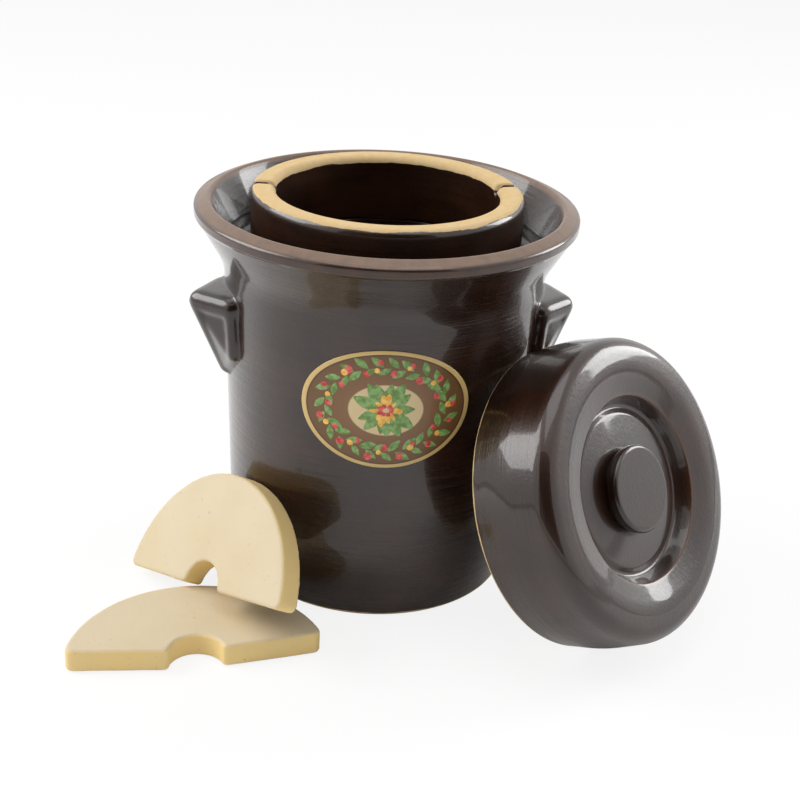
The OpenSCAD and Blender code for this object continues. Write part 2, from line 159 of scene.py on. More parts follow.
class LidSizes(bpy.types.PropertyGroup):
    """Sizes and place of the lid, in its own frame from the skirt's edge up."""

    skirt_radius: length("Skirt radius", "Outer radius at the open edge", 97.4 * MM)
    skirt: length("Skirt", "Thickness of the skirt", 6.4 * MM)
    height: length("Height", "Height of the crest over the edge", 58.5 * MM)
    draft: length("Draft", "How much narrower the skirt is at its top", 1.2 * MM)
    bulge: length("Bulge", "How far the skirt swells past its edge", 2.2 * MM)
    bulge_height: length("Bulge height", "Height of the bulge", 24 * MM)
    shoulder: length("Shoulder", "Rounding of the outer shoulder", 11.5 * MM)
    crest_radius: length("Crest radius", "Radius of the crest ring", 76 * MM)
    crest_drop: length("Crest drop", "Drop from the crest to the well's edge", 4.5 * MM)
    well_radius: length("Well radius", "Radius of the well round the knob", 59.5 * MM)
    well_depth: length("Well depth", "Depth of the groove under the crest", 16 * MM)
    boss_radius: length("Boss radius", "Radius of the well's raised middle", 49 * MM)
    boss_height: length("Boss height", "Height of the raised middle", 4.5 * MM)
    boss_fall: length("Boss fall", "Fall of the raised middle outwards", 1.4 * MM)
    ceiling: length("Ceiling", "Height of the ceiling over the edge", 46.3 * MM)
    ceiling_radius: length("Ceiling radius", "Radius where the ceiling steps down", 70.6 * MM)
    top: length("Top", "Thickness of the lid's top", 8 * MM)
    edge_round: length("Edge rounding", "Rounding of the open edge", 1.6 * MM)
    knob_radius: length("Knob radius", "Radius of the knob", 28.1 * MM)
    knob_height: length("Knob height", "Height of the knob", 10.2 * MM)
    knob_under: length("Knob undercut", "Undercut of the knob's base", 2.6 * MM)
    ring_depth: length("Ring depth", "Depth of the lid's throwing rings", 0.12 * MM)
    ring_gap: length("Ring gap", "Height from one throwing ring to the next", 6 * MM)
    knob_ring_depth: length("Knob ring depth", "Depth of the knob's throwing rings", 0.15 * MM)
    knob_ring_gap: length("Knob ring gap", "Height from one knob ring to the next", 4 * MM)
    seed: IntProperty(name="Seed", description="Seed of the hand-thrown marks", default=11)
    lean: turn("Lean", "Lean of the open face from upright", 25.5)
    facing: turn("Facing", "Direction that the knob faces", -39)


class StoneSizes(bpy.types.PropertyGroup):
    """How the weight stones are worn and softened."""

    grain: length("Grain", "Cell size of the remeshed clay", 1.0 * MM)
    smoothing: IntProperty(
        name="Smoothing", description="Rounds of smoothing of the edges", default=4
    )
    dent: length("Dent", "Depth of the hand-pressed unevenness", 0.35 * MM)


class LabelSizes(bpy.types.PropertyGroup):
    """Sizes of the oval label and its leaf garland."""

    width: length("Width", "Width along the wall", 108 * MM)
    height: length("Height", "Height of the oval", 80.4 * MM)
    thickness: length("Thickness", "Thickness of the label", 0.5 * MM)
    glue: length("Glue", "Thickness of the glue under it", 0.2 * MM)
    facing: turn("Facing", "Direction that the label faces", -87.3)
    print_rise: length("Print rise", "Thickness of the raised print", 0.12 * MM)
    leaves: IntProperty(name="Leaves", description="Leaves of the garland", default=46)
    seed: IntProperty(name="Seed", description="Seed of the leaves' spread", default=3)


class CrockColours(bpy.types.PropertyGroup):
    """Colours of the glaze, the clay and the label, with painted light on the stones' sides and the
    rim's top.
    """

    glaze: colour("Glaze", "Dark glaze", (0.014, 0.0045, 0.0016))
    glaze_warm: colour("Warm glaze", "Lighter clouds in the glaze", (0.030, 0.0098, 0.0038))
    amber: colour("Amber", "Where the glaze breaks thin", (0.060, 0.019, 0.0026))
    # Partly the rim's own semi-matte glaze, partly a painted reflection of the sky on the rim's top
    # face.
    rim: colour("Rim", "Semi-matte glaze on the rim's top", (0.185, 0.115, 0.076))
    clay: colour("Bare clay", "Unglazed clay of the pot", (0.60, 0.385, 0.145))
    stone: colour("Stone", "Unglazed clay of the weight stones", (0.68, 0.575, 0.40))
    stone_deep: colour("Deep stone", "Warmer patches of the stones", (0.64, 0.51, 0.31))
    # Painted warm bounce light: the stones' sides get this warmer colour in place of the light that
    # falls on them.
    stone_side: colour("Stone side", "Cut and round sides of the stones", (0.90, 0.66, 0.27))
    border: colour("Border", "Border of the label", (0.66, 0.46, 0.17))
    line: colour("Line", "Thin line inside the border", (0.06, 0.02, 0.008))
    field: colour("Field", "Field of the label", (0.14, 0.062, 0.014))
    field_light: colour("Light field", "Field near the label's middle", (0.24, 0.115, 0.045))
    field_pale: colour("Pale field", "Middle of the label", (0.72, 0.56, 0.30))
    fibre: colour("Fibre", "Fibres of the label's paper", (0.30, 0.20, 0.10))
    leaf: colour("Leaf", "Leaves of the garland", (0.10, 0.22, 0.025))
    berry: colour("Berry", "Red berries", (0.48, 0.02, 0.012))
    fruit: colour("Fruit", "Yellow berries", (0.80, 0.34, 0.02))


class StudioSizes(bpy.types.PropertyGroup):
    """Camera and lights."""

    camera_back: length("Camera back", "Distance of the camera in front", 936.6 * MM)
    camera_height: length("Camera height", "Height of the camera", 551.41 * MM)
    camera_yaw: turn("Yaw", "Turn of the camera to the right", 0.913)
    camera_pitch: turn("Pitch", "Tilt of the camera downwards", 24.908)
    camera_roll: turn("Roll", "Roll of the camera", 3.112)
    focal: FloatProperty(
        name="Focal length", description="Lens of the camera in mm", default=67.5
    )
    ambient: FloatProperty(
        name="Ambient", description="Light from all round", default=0.42
    )
    left_light: FloatProperty(
        name="Left light", description="Power of the left softbox", default=34.0, unit="POWER"
    )
    right_light: FloatProperty(
        name="Right light", description="Power of the right softbox", default=26.0, unit="POWER"
    )
    top_light: FloatProperty(
        name="Top light", description="Power of the overhead softbox", default=14.0, unit="POWER"
    )


class Value:
    """A number that varies over a surface: arithmetic on it adds Math nodes."""

    def __init__(self, finish, socket):
        self.finish = finish
        self.socket = socket

    def math(self, operation, first, second):
        """One Math node."""
        return self.finish.add(
            "ShaderNodeMath", {"operation": operation}, {0: first, 1: second}
        )

    def __add__(self, other):
        return self.math("ADD", self, other)

    def __radd__(self, other):
        return self.math("ADD", other, self)

    def __sub__(self, other):
        return self.math("SUBTRACT", self, other)

    def __rsub__(self, other):
        return self.math("SUBTRACT", other, self)

    def __mul__(self, other):
        return self.math("MULTIPLY", self, other)

    def __rmul__(self, other):
        return self.math("MULTIPLY", other, self)


class Tree:
    """A node tree with one method that adds any node."""

    def __init__(self, tree):
        self.tree = tree

    def add(self, kind, settings=None, inputs=None, output=0):
        """Adds a node, sets it up, feeds its sockets and returns one of its outputs."""
        node = self.tree.nodes.new(kind)
        for key, value in (settings or {}).items():
            setattr(node, key, value)
        for key, value in (inputs or {}).items():
            self.feed(self.find(node.inputs, key), value)
        return Value(self, self.find(node.outputs, output))

    @staticmethod
    def find(sockets, key):
        """A socket by its number, its identifier or its name."""
        if isinstance(key, int):
            return sockets[key]
        return next((s for s in sockets if s.identifier == key), None) or sockets[key]

    def feed(self, socket, value):
        """Links a Value to a socket, or sets the socket to a plain value."""
        if isinstance(value, Value):
            self.tree.links.new(value.socket, socket)
        elif isinstance(value, (tuple, list)) and socket.type == "RGBA" and len(value) == 3:
            socket.default_value = (*value, 1)
        else:
            socket.default_value = value


class Finish(Tree):
    """A material: its patterns lie in the object's frame, or in a piece's own."""

    def __init__(self, name, frame_of_piece=None, **constants):
        self.material = bpy.data.materials.new(name)
        self.material.use_nodes = True
        super().__init__(self.material.node_tree)
        self.shader = self.tree.nodes["Principled BSDF"]
        self.surface(**constants)
        self.place = self.add("ShaderNodeTexCoord", output="Object")
        if frame_of_piece:
            self.place = self.add(
                "ShaderNodeMapping",
                {"vector_type": "TEXTURE"},
                {
                    "Vector": self.place,
                    "Location": tuple(frame_of_piece.to_translation()),
                    "Rotation": tuple(frame_of_piece.to_euler()),
                },
            )
        parts = {
            axis: self.add("ShaderNodeSeparateXYZ", None, {0: self.place}, axis)
            for axis in "XYZ"
        }
        self.height = parts["Z"]
        flat = self.add("ShaderNodeCombineXYZ", None, {"X": parts["X"], "Y": parts["Y"]})
        self.radius = self.add(
            "ShaderNodeVectorMath", {"operation": "LENGTH"}, {0: flat}, "Value"
        )

    def noise(self, scale, detail=2.0, stretch=(1, 1, 1), rough=0.5):
        """Cloudy pattern from 0 to 1; scale is features a metre, stretch per axis."""
        place = self.add(
            "ShaderNodeVectorMath", {"operation": "MULTIPLY"}, {0: self.place, 1: stretch}
        )
        return self.add(
            "ShaderNodeTexNoise",
            None,
            {"Vector": place, "Scale": scale, "Detail": detail, "Roughness": rough},
        )

    def step(self, value, low, high, at_low=0.0, at_high=1.0):
        """Smooth step of a value from at_low at low to at_high at high."""
        return self.add(
            "ShaderNodeMapRange",
            {"interpolation_type": "SMOOTHSTEP"},
            {"Value": value, "From Min": low, "From Max": high, "To Min": at_low,
             "To Max": at_high},
        )

    def band(self, value, low, high, soft):
        """1 between low and high, falling to 0 over soft on both sides."""
        return self.step(value, low - soft, low) * self.step(value, high, high + soft, 1, 0)

    def mix(self, mask, first, second):
        """Colour that goes from first to second as mask goes from 0 to 1."""
        return self.add(
            "ShaderNodeMix",
            {"data_type": "RGBA"},
            {"Factor_Float": mask, "A_Color": first, "B_Color": second},
            "Result_Color",
        )

    def bump(self, height, depth):
        """Feeds the shader's normal from a height of 0 to 1 that stands for depth."""
        normal = self.add(
            "ShaderNodeBump", None, {"Height": height, "Distance": depth, "Strength": 1.0}
        )
        self.feed(self.shader.inputs["Normal"], normal)

    def surface(self, **values):
        """Feeds the shader's own sockets by their names and returns the material."""
        for key, value in values.items():
            self.feed(self.shader.inputs[key.replace("_", " ")], value)
        return self.material


def glaze_finish(name, colours, own_frame=None, bare=None, thin=None, dull=None, rings=1.0):
    """Dark glaze with iron clouds, throwing marks and orange peel.

    bare, thin and dull are functions of the finish that give masks: bare clay, glaze broken thin to
    amber, and the semi-matte brown of the rim, partly a painted sky reflection on its top."""
    finish = Finish(name, own_frame, IOR=1.42, Coat_Roughness=0.06, Coat_IOR=1.48)
    clouds = finish.noise(22, 3)
    streaks = finish.noise(16, 4, (1, 1, 7), 0.6)
    specks = finish.step(finish.noise(1500, 1), 0.62, 0.75)
    shade = finish.mix(
        finish.step(clouds * 0.75 + streaks * 0.25, 0.42, 0.66),
        tuple(colours.glaze), tuple(colours.glaze_warm),
    )
    shade = finish.mix(specks * 0.5, shade, tuple(colours.amber))
    gloss = 0.30 + streaks * 0.05
    coat = finish.step(finish.noise(700, 2), 0.2, 0.5, 0.6, 0.75)
    if thin:
        shade = finish.mix(thin(finish), shade, tuple(colours.amber))
    # Rim's top: semi-matte brown, lightened as a painted sky reflection.
    if dull:
        mask = dull(finish)
        shade = finish.mix(mask, shade, tuple(colours.rim))
        gloss = gloss + mask * 0.12
        coat = coat * (1 - mask * 0.55)
    grain = finish.noise(2600, 3)
    if bare:
        mask = bare(finish)
        clay = finish.mix(finish.noise(260, 4), tuple(colours.clay), tuple(colours.stone_deep))
        shade = finish.mix(mask, shade, clay)
        gloss = gloss * (1 - mask) + mask * 0.85
        coat = coat * (1 - mask)
    ridges = finish.noise(170, 3, (0.05, 0.05, 1), 0.55)
    fine = finish.noise(620, 2, (0.06, 0.06, 1), 0.5)
    peel = finish.noise(420, 2)
    finish.bump(ridges * (0.55 * rings) + fine * (0.18 * rings) + peel * 0.12 + grain * 0.02,
                0.0011)
    return finish.surface(Base_Color=shade, Roughness=gloss, Coat_Weight=coat)


def stone_finish(colours):
    """Unglazed buff clay: faint patches, pits and a fine grain, with painted warm bounce light on the
    sides.
    """
    finish = Finish("Bare stoneware", IOR=1.45)
    patches = finish.step(finish.noise(26, 4), 0.35, 0.7)
    pits = finish.step(finish.noise(420, 2), 0.70, 0.76)
    shade = finish.mix(patches * 0.45, tuple(colours.stone), tuple(colours.stone_deep))
    # Painted warm bounce light on the sides, chosen by the surface's facing, not a colour of the clay.
    side = finish.add("ShaderNodeAttribute", {"attribute_name": "side"}, None, "Fac")
    shade = finish.mix(side * (0.8 + patches * 0.2), shade, tuple(colours.stone_side))
    shade = finish.mix(pits * 0.5, shade, tuple(colours.clay))
    grain = finish.noise(1700, 4)
    finish.bump(grain * 0.35 + finish.noise(160, 3) * 0.5 - pits * 0.5, 0.0004)
    return finish.surface(Base_Color=shade, Roughness=0.72 + grain * 0.2)


def rounded(corners, steps=7):
    """Profile points from corners (radius, height, rounding), as the pot is drawn."""
    points = []
    count = len(corners)
    for index, (x, z, size) in enumerate(corners):
        here = Vector((x, z))
        before = Vector(corners[index - 1][:2]) - here
        after = Vector(corners[(index + 1) % count][:2]) - here
        u, v = before.normalized(), after.normalized()
        half = acos(max(-1, min(1, u.dot(v)))) / 2
        reach = 0.49 * min(before.length, after.length)
        size = min(size, reach * tan(half))
        if size < 1e-5 or half > radians(89.9):
            points.append(here)
            continue
        centre = here + (u + v).normalized() * size / sin(half)
        start = here + u * size / tan(half) - centre
        end = here + v * size / tan(half) - centre
        first = atan2(start.y, start.x)
        swing = (atan2(end.y, end.x) - first + 3 * pi) % (2 * pi) - pi
        points += [
            centre + size * Vector((cos(first + swing * k / steps), sin(first + swing * k / steps)))
            for k in range(steps + 1)
        ]
    return points


def spaced(points, gap):
    """The same line with no stretch longer than gap."""
    out = [points[0]]
    for a, b in zip(points, points[1:]):
        pieces = max(1, round((b - a).length / gap))
        out += [a.lerp(b, (k + 1) / pieces) for k in range(pieces)]
    return out


class Form:
    """A Geometry Nodes group with named inputs that makes plain closed meshes."""

    title = ""
    sockets = ()

    def __init__(self):
        self.group = bpy.data.node_groups.new(self.title, "GeometryNodeTree")
        face = self.group.interface
        face.new_socket("Geometry", in_out="INPUT", socket_type="NodeSocketGeometry")
        self.ids = {
            name: face.new_socket(name, in_out="INPUT", socket_type=f"NodeSocket{kind}").identifier
            for name, kind in self.sockets
        }
        face.new_socket("Geometry", in_out="OUTPUT", socket_type="NodeSocketGeometry")
        tree = Tree(self.group)
        given = self.group.nodes.new("NodeGroupInput")
        inputs = {s.name: Value(tree, s) for s in given.outputs if s.name}
        shape = self.shape(tree, inputs)
        shape = tree.add("GeometryNodeSetShadeSmooth", None, {"Geometry": shape})
        shape = tree.add("GeometryNodeRealizeInstances", None, {"Geometry": shape})
        shape = tree.add("GeometryNodeSetMaterial", None,
                         {"Geometry": shape, "Material": inputs["Finish"]})
        self.group.links.new(shape.socket, self.group.nodes.new("NodeGroupOutput").inputs[0])

    def shape(self, tree, inputs):
        """Adds the nodes of the form and returns their geometry."""
        raise NotImplementedError

    def made(self, name, mesh, values):
        """A plain closed mesh object from a start mesh and the group's input values."""
        obj = linked(bpy.data.objects.new(name, mesh))
        modifier = obj.modifiers.new(self.title, "NODES")
        modifier.node_group = self.group
        for key, value in values.items():
            modifier[self.ids[key]] = value
        return closed(plain(obj))


class Thrown(Form):
    """Turns a profile round the upright axis, with faint throwing rings."""

    title = "Thrown form"
    sockets = (("Around", "Int"), ("Ring depth", "Float"), ("Ring gap", "Float"),
               ("Seed", "Int"), ("Finish", "Material"))

    def shape(self, tree, inputs):
        profile, around = inputs["Geometry"], inputs["Around"]
        rows = tree.add("GeometryNodeAttributeDomainSize", None, {"Geometry": profile},
                        "Point Count")
        grid = tree.add("GeometryNodeMeshGrid", None,
                        {"Vertices X": around + 1, "Vertices Y": rows}, "Mesh")
        index = tree.add("GeometryNodeInputIndex")
        column = tree.add("ShaderNodeMath", {"operation": "FLOOR"},
                          {0: index.math("DIVIDE", index + 0.5, rows)})
        row = index - column * rows
        point = self.sampled(tree, profile, row, "FLOAT_VECTOR",
                             tree.add("GeometryNodeInputPosition"))
        weight = self.sampled(tree, profile, row, "FLOAT", tree.add(
            "GeometryNodeInputNamedAttribute", {"data_type": "FLOAT"}, {"Name": "thrown"}))
        angle = column.math("DIVIDE", column, around) * (2 * pi)
        across = tree.add("ShaderNodeMath", {"operation": "COSINE"}, {0: angle})
        along = tree.add("ShaderNodeMath", {"operation": "SINE"}, {0: angle})
        radius = tree.add("ShaderNodeSeparateXYZ", None, {0: point}, "X")
        height = tree.add("ShaderNodeSeparateXYZ", None, {0: point}, "Z")
        sway = tree.add("ShaderNodeCombineXYZ", None, {
            "X": across * 0.35 + inputs["Seed"], "Y": along * 0.35,
            "Z": height.math("DIVIDE", height, inputs["Ring gap"])})
        marks = tree.add("ShaderNodeTexNoise", None,
                         {"Vector": sway, "Scale": 1.0, "Detail": 2.0})
        radius = radius - marks * weight * inputs["Ring depth"]
        spot = tree.add("ShaderNodeCombineXYZ", None,
                        {"X": radius * across, "Y": radius * along, "Z": height})
        turned = tree.add("GeometryNodeSetPosition", None, {"Geometry": grid, "Position": spot})
        return tree.add("GeometryNodeMergeByDistance", None,
                        {"Geometry": turned, "Distance": 0.01 * MM})

    @staticmethod
    def sampled(tree, geometry, index, kind, field):
        """A field's value at one point of a geometry."""
        return tree.add("GeometryNodeSampleIndex", {"data_type": kind, "domain": "POINT"},
                        {"Geometry": geometry, "Value": field, "Index": index})

    def turned(self, name, points, finish, around, depth, gap, seed, weight):
        """The closed form of profile points (radius, height).

        weight is a function of a point that gives the rings' share of their depth there."""
        mesh = bpy.data.meshes.new(name)
        mesh.from_pydata([(p.x, 0, p.y) for p in points],
                         [(i, i + 1) for i in range(len(points) - 1)], [])
        marks = mesh.attributes.new("thrown", "FLOAT", "POINT")
        for item, p in zip(marks.data, points):
            item.value = weight(p)
        return self.made(name, mesh, {
            "Around": around, "Ring depth": depth, "Ring gap": gap, "Seed": seed,
            "Finish": finish})


class Spray(Form):
    """Sets flat leaves or berries round an oval and bends them onto the pot's wall."""

    title = "Printed spray"
    sockets = (("Count", "Int"), ("Oval width", "Float"), ("Oval height", "Float"),
               ("Length", "Float"), ("Width", "Float"), ("Rise", "Float"),
               ("Taper", "Float"), ("Tilt", "Float"), ("Turn", "Float"), ("Sway", "Float"),
               ("Side", "Float"), ("Seed", "Int"), ("Facing", "Float"), ("Middle", "Float"),
               ("Wall radius", "Float"), ("Wall slope", "Float"), ("Finish", "Material"))

    def shape(self, tree, inputs):
        def random(low, high, salt):
            return tree.add("FunctionNodeRandomValue", {"data_type": "FLOAT"},
                            {"Min_001": low, "Max_001": high, "Seed": inputs["Seed"] + salt},
                            "Value_001")

        def parts(vector):
            return [tree.add("ShaderNodeSeparateXYZ", None, {0: vector}, axis) for axis in "XYZ"]

        def joined(x, y, z):
            return tree.add("ShaderNodeCombineXYZ", None, {"X": x, "Y": y, "Z": z})

        blob = tree.add("GeometryNodeMeshUVSphere", None,
                        {"Segments": 14, "Rings": 8, "Radius": 1.0}, "Mesh")
        x, y, z = parts(tree.add("GeometryNodeInputPosition"))
        narrow = 1 - x * x * inputs["Taper"]
        blob = tree.add("GeometryNodeSetPosition", None, {
            "Geometry": blob,
            "Position": joined((x + 1) * inputs["Length"] * 0.5,
                               y * narrow * inputs["Width"] * 0.5, z * inputs["Rise"] * 0.5)})
        oval = tree.add("GeometryNodeCurvePrimitiveCircle", {"mode": "RADIUS"},
                        {"Resolution": 96, "Radius": 1.0}, "Curve")
        x, y, z = parts(tree.add("GeometryNodeInputPosition"))
        oval = tree.add("GeometryNodeSetPosition", None, {
            "Geometry": oval,
            "Position": joined(x * inputs["Oval width"] * 0.5,
                               y * inputs["Oval height"] * 0.5, 0.0)})
        dots = tree.add("GeometryNodeCurveToPoints", {"mode": "COUNT"},
                        {"Curve": oval, "Count": inputs["Count"]}, "Points")
        x, y, _ = parts(Value(tree, dots.socket.node.outputs["Tangent"]))
        ahead = tree.add("ShaderNodeMath", {"operation": "ARCTAN2"}, {0: y, 1: x})
        index = tree.add("GeometryNodeInputIndex")
        side = tree.add("ShaderNodeMath", {"operation": "MODULO"}, {0: index, 1: 2.0}) * 2 - 1
        angle = ahead + inputs["Turn"] + side * inputs["Tilt"]
        angle = angle + random(-1.0, 1.0, 1) * inputs["Sway"]
        shift = side * inputs["Side"]
        sine = tree.add("ShaderNodeMath", {"operation": "SINE"}, {0: ahead})
        cosine = tree.add("ShaderNodeMath", {"operation": "COSINE"}, {0: ahead})
        dots = tree.add("GeometryNodeSetPosition", None, {
            "Geometry": dots, "Offset": joined(0 - shift * sine, shift * cosine, 0.0)})
        spread = tree.add("GeometryNodeInstanceOnPoints", None, {
            "Points": dots, "Instance": blob, "Rotation": joined(0.0, 0.0, angle),
            "Scale": random(0.82, 1.12, 2)})
        spread = tree.add("GeometryNodeRealizeInstances", None, {"Geometry": spread})
        x, y, z = parts(tree.add("GeometryNodeInputPosition"))
        around = inputs["Facing"] + x.math("DIVIDE", x, inputs["Wall radius"])
        radius = inputs["Wall radius"] + y * inputs["Wall slope"] + z
        sine = tree.add("ShaderNodeMath", {"operation": "SINE"}, {0: around})
        cosine = tree.add("ShaderNodeMath", {"operation": "COSINE"}, {0: around})
        return tree.add("GeometryNodeSetPosition", None, {
            "Geometry": spread,
            "Position": joined(radius * cosine, radius * sine, y + inputs["Middle"])})


def linked(obj):
    """Puts a new object into the scene."""
    bpy.context.scene.collection.objects.link(obj)
    return obj


def plain(obj):
    """Turns the evaluated object into a plain mesh and takes its modifiers off."""
    seen = obj.evaluated_get(bpy.context.evaluated_depsgraph_get())
    mesh = bpy.data.meshes.new_from_object(seen)
    obj.modifiers.clear()
    obj.data = mesh
    if not mesh.polygons:
        raise RuntimeError(f"{obj.name} came out empty")
    return obj


def closed(obj, join=0.004 * MM):
    """Merges doubles and turns the faces outwards."""
    work = bmesh.new()
    work.from_mesh(obj.data)
    bmesh.ops.remove_doubles(work, verts=work.verts, dist=join)
    bmesh.ops.dissolve_degenerate(work, edges=work.edges, dist=join / 4)
    bmesh.ops.recalc_face_normals(work, faces=work.faces)
    if work.calc_volume(signed=True) < 0:
        bmesh.ops.reverse_faces(work, faces=work.faces)
    work.to_mesh(obj.data)
    work.free()
    for face in obj.data.polygons:
        face.use_smooth = True
    return obj


def kneaded(obj, cell, rounds):
    """Remeshes the piece in even cells and smooths it, as soft clay."""
    skin = obj.modifiers.new("Skin", "REMESH")
    skin.mode = "VOXEL"
    skin.voxel_size = cell
    skin.use_smooth_shade = True
    soften = obj.modifiers.new("Soften", "SMOOTH")
    soften.factor = 0.5
    soften.iterations = rounds
    return closed(plain(obj))


def dressed(obj, finish, body, slot, *nodes):
    """Gives a piece its material and body, in the place of CAD nodes; slot is not used."""
    obj.data.materials.clear()
    obj.data.materials.append(finish)
    for face in obj.data.polygons:
        face.material_index = 0
    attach(obj, body)
    if nodes:
        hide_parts(*nodes)
    return obj


def flare_start(s):
    """Height at which the wall's line and the flare's line cross."""
    band = RIM_TOP - s.lip_rise - s.rim_band
    outer = RIM_RADIUS - s.rim_step
    return band - s.rim_step - (outer - s.shoulder_radius) / tan(s.flare_angle)


def wall_radius(s, z):
    """Outer radius of the pot's wall at a height below the flare."""
    swell = s.belly_radius - s.foot_radius
    bend = (s.belly_height ** 2 + swell ** 2) / (2 * swell)
    if z < s.belly_height:
        return s.belly_radius - bend + sqrt(bend ** 2 - (s.belly_height - z) ** 2)
    rise = (z - s.belly_height) / (flare_start(s) - s.belly_height)
    return s.belly_radius + (s.shoulder_radius - s.belly_radius) * rise


def pot_profile(s):
    """The pot's section from the middle of its base round to its floor."""
    rim_edge = RIM_TOP - s.lip_rise
    band = rim_edge - s.rim_band
    steps = 8
    curve = [s.belly_height * k / steps for k in range(1, steps + 1)]
    foot_round = 3.5 * MM
    outside = [(0, 0, 0), (s.foot_radius, 0, foot_round)]
    outside += [(wall_radius(s, z), z, 0) for z in curve]
    outside += [
        (s.shoulder_radius, flare_start(s), s.flare_bend),
        (RIM_RADIUS - s.rim_step, band - s.rim_step, s.rim_step),
        (RIM_RADIUS, band, s.rim_step),
        (RIM_RADIUS, rim_edge, s.lip_round),
        (RIM_RADIUS - s.lip_width, RIM_TOP, s.lip_round),
    ]
    ledge_radius = s.mouth_radius + 1.5 * MM
    under = GUTTER_FLOOR - s.ledge
    gutter_round = 5 * MM
    floor_bend = 24 * MM
    inside = [
        (s.gutter_radius, GUTTER_FLOOR + s.gutter_upright, s.gutter_upright),
        (s.gutter_radius, GUTTER_FLOOR, gutter_round),
        (ledge_radius, GUTTER_FLOOR, 0),
        (ledge_radius, under, 1.5 * MM),
        (s.shoulder_radius - s.wall, under, s.wall),
        (s.belly_radius - s.wall, s.belly_height, 0),
        (s.foot_radius - s.wall, s.floor, floor_bend),
        (0, s.floor, 0),
    ]
    return spaced(rounded(outside + inside), 3 * MM)


def lid_profile(s):
    """The lid's section from the middle of its top round to its ceiling."""
    groove = s.height - s.well_depth
    boss = groove + s.boss_height
    edge = s.skirt_radius - s.skirt
    under = groove - s.top
    crest_bend = 38 * MM
    side_bend = 90 * MM
    ceiling_round = 2 * MM
    corners = [
        (0, boss, 0),
        (s.knob_radius, boss, 0),
        (s.boss_radius, boss - s.boss_fall, s.boss_height),
        ((s.well_radius + s.boss_radius) / 2, groove, s.boss_height),
        (s.well_radius, s.height - s.crest_drop, s.boss_height / 2),
        (s.crest_radius, s.height, crest_bend),
        (s.skirt_radius - s.draft, s.height - 1 * MM, s.shoulder),
        (s.skirt_radius + s.bulge, s.bulge_height, side_bend),
        (s.skirt_radius, 0, s.edge_round),
        (edge, 0, s.edge_round),
        (edge + s.bulge, s.bulge_height, side_bend),
        (edge, s.ceiling, ceiling_round),
        (s.ceiling_radius, s.ceiling, ceiling_round),
        (s.well_radius, under, s.top),
        (0, under, 0),
    ]
    return spaced(rounded(corners, 9), 2.5 * MM)


def knob_profile(s):
    """The knob's section, a disc with an undercut."""
    base = s.height - s.well_depth + s.boss_height
    sunk = base - 0.4 * MM
    side_round, top_round = 3 * MM, 4 * MM
    corners = [
        (0, sunk, 0),
        (s.knob_radius - s.knob_under, sunk, 0),
        (s.knob_radius, base + s.knob_height / 2, side_round),
        (s.knob_radius, base + s.knob_height, top_round),
        (0, base + s.knob_height, 0),
    ]
    return spaced(rounded(corners, 8), 1.2 * MM)


def lid_place(s):
    """Matrix from the lid's own frame to where it leans, fitted to the CAD lid's box."""
    turned = Matrix.Rotation(s.facing, 4, "Z") @ Matrix.Rotation(pi / 2 - s.lean, 4, "Y")
    low = Vector((1e9,) * 3)
    high = -low
    for p in lid_profile(s):
        for k in range(360):
            a = radians(k)
            spot = turned @ Vector((p.x * cos(a), p.x * sin(a), p.y))
            low = Vector(map(min, low, spot))
            high = Vector(map(max, high, spot))
    middle = (LID_BOX[0] + LID_BOX[1]) / 2 - (low + high) / 2
    return Matrix.Translation(middle) @ turned


class CROCK_OT_body(bpy.types.Operator):
    """Throw the pot with its flared rim and water gutter"""

    bl_idname = "crock.body"
    bl_label = "Pot body"

    def execute(self, context):
        s = context.scene.crock_sizes
        colours = context.scene.crock_colours
        rim_edge = RIM_TOP - s.lip_rise

        def bare(f):
            line = 2.2 * MM + (f.noise(60, 2) - 0.5) * (2 * MM)
            return f.step(f.height - line, 0.0, 0.0006, 1, 0) * f.step(f.radius, 0.05, 0.06)

        def thin(f):
            edge = f.band(f.height, rim_edge - s.rim_band - 0.5 * MM, rim_edge - 0.5 * MM,
                          1.2 * MM)
            outer = f.step(f.radius, RIM_RADIUS - 5 * MM, RIM_RADIUS - 1.5 * MM)
            return edge * outer * f.step(f.noise(90, 3, (1, 1, 0.4)), 0.3, 0.7, 0.25, 0.7)

        # Mask of the rim's top face, where the semi-matte brown also paints the sky's reflection.
        def dull(f):
            top = f.step(f.height, rim_edge - 0.2 * MM, rim_edge + 1.2 * MM)
            outer = f.step(f.radius, RIM_RADIUS - s.lip_width - 4 * MM,
                           RIM_RADIUS - s.lip_width)
            return top * outer * f.step(f.noise(120, 4), 0.25, 0.6, 0.75, 1.0)

        finish = glaze_finish("Pot glaze", colours, None, bare, thin, dull)
        pot = Thrown().turned(
            "crock_body", pot_profile(s), finish, 248, s.ring_depth, s.ring_gap, s.seed,
            lambda p: 1.0 if p.x > 40 * MM and 6 * MM < p.y < RIM_TOP - 14 * MM else 0.0,
        )
        dressed(pot, finish, "crock", "dark_glaze", "crock_body")
        pot.name = "pot_body"
        return {"FINISHED"}


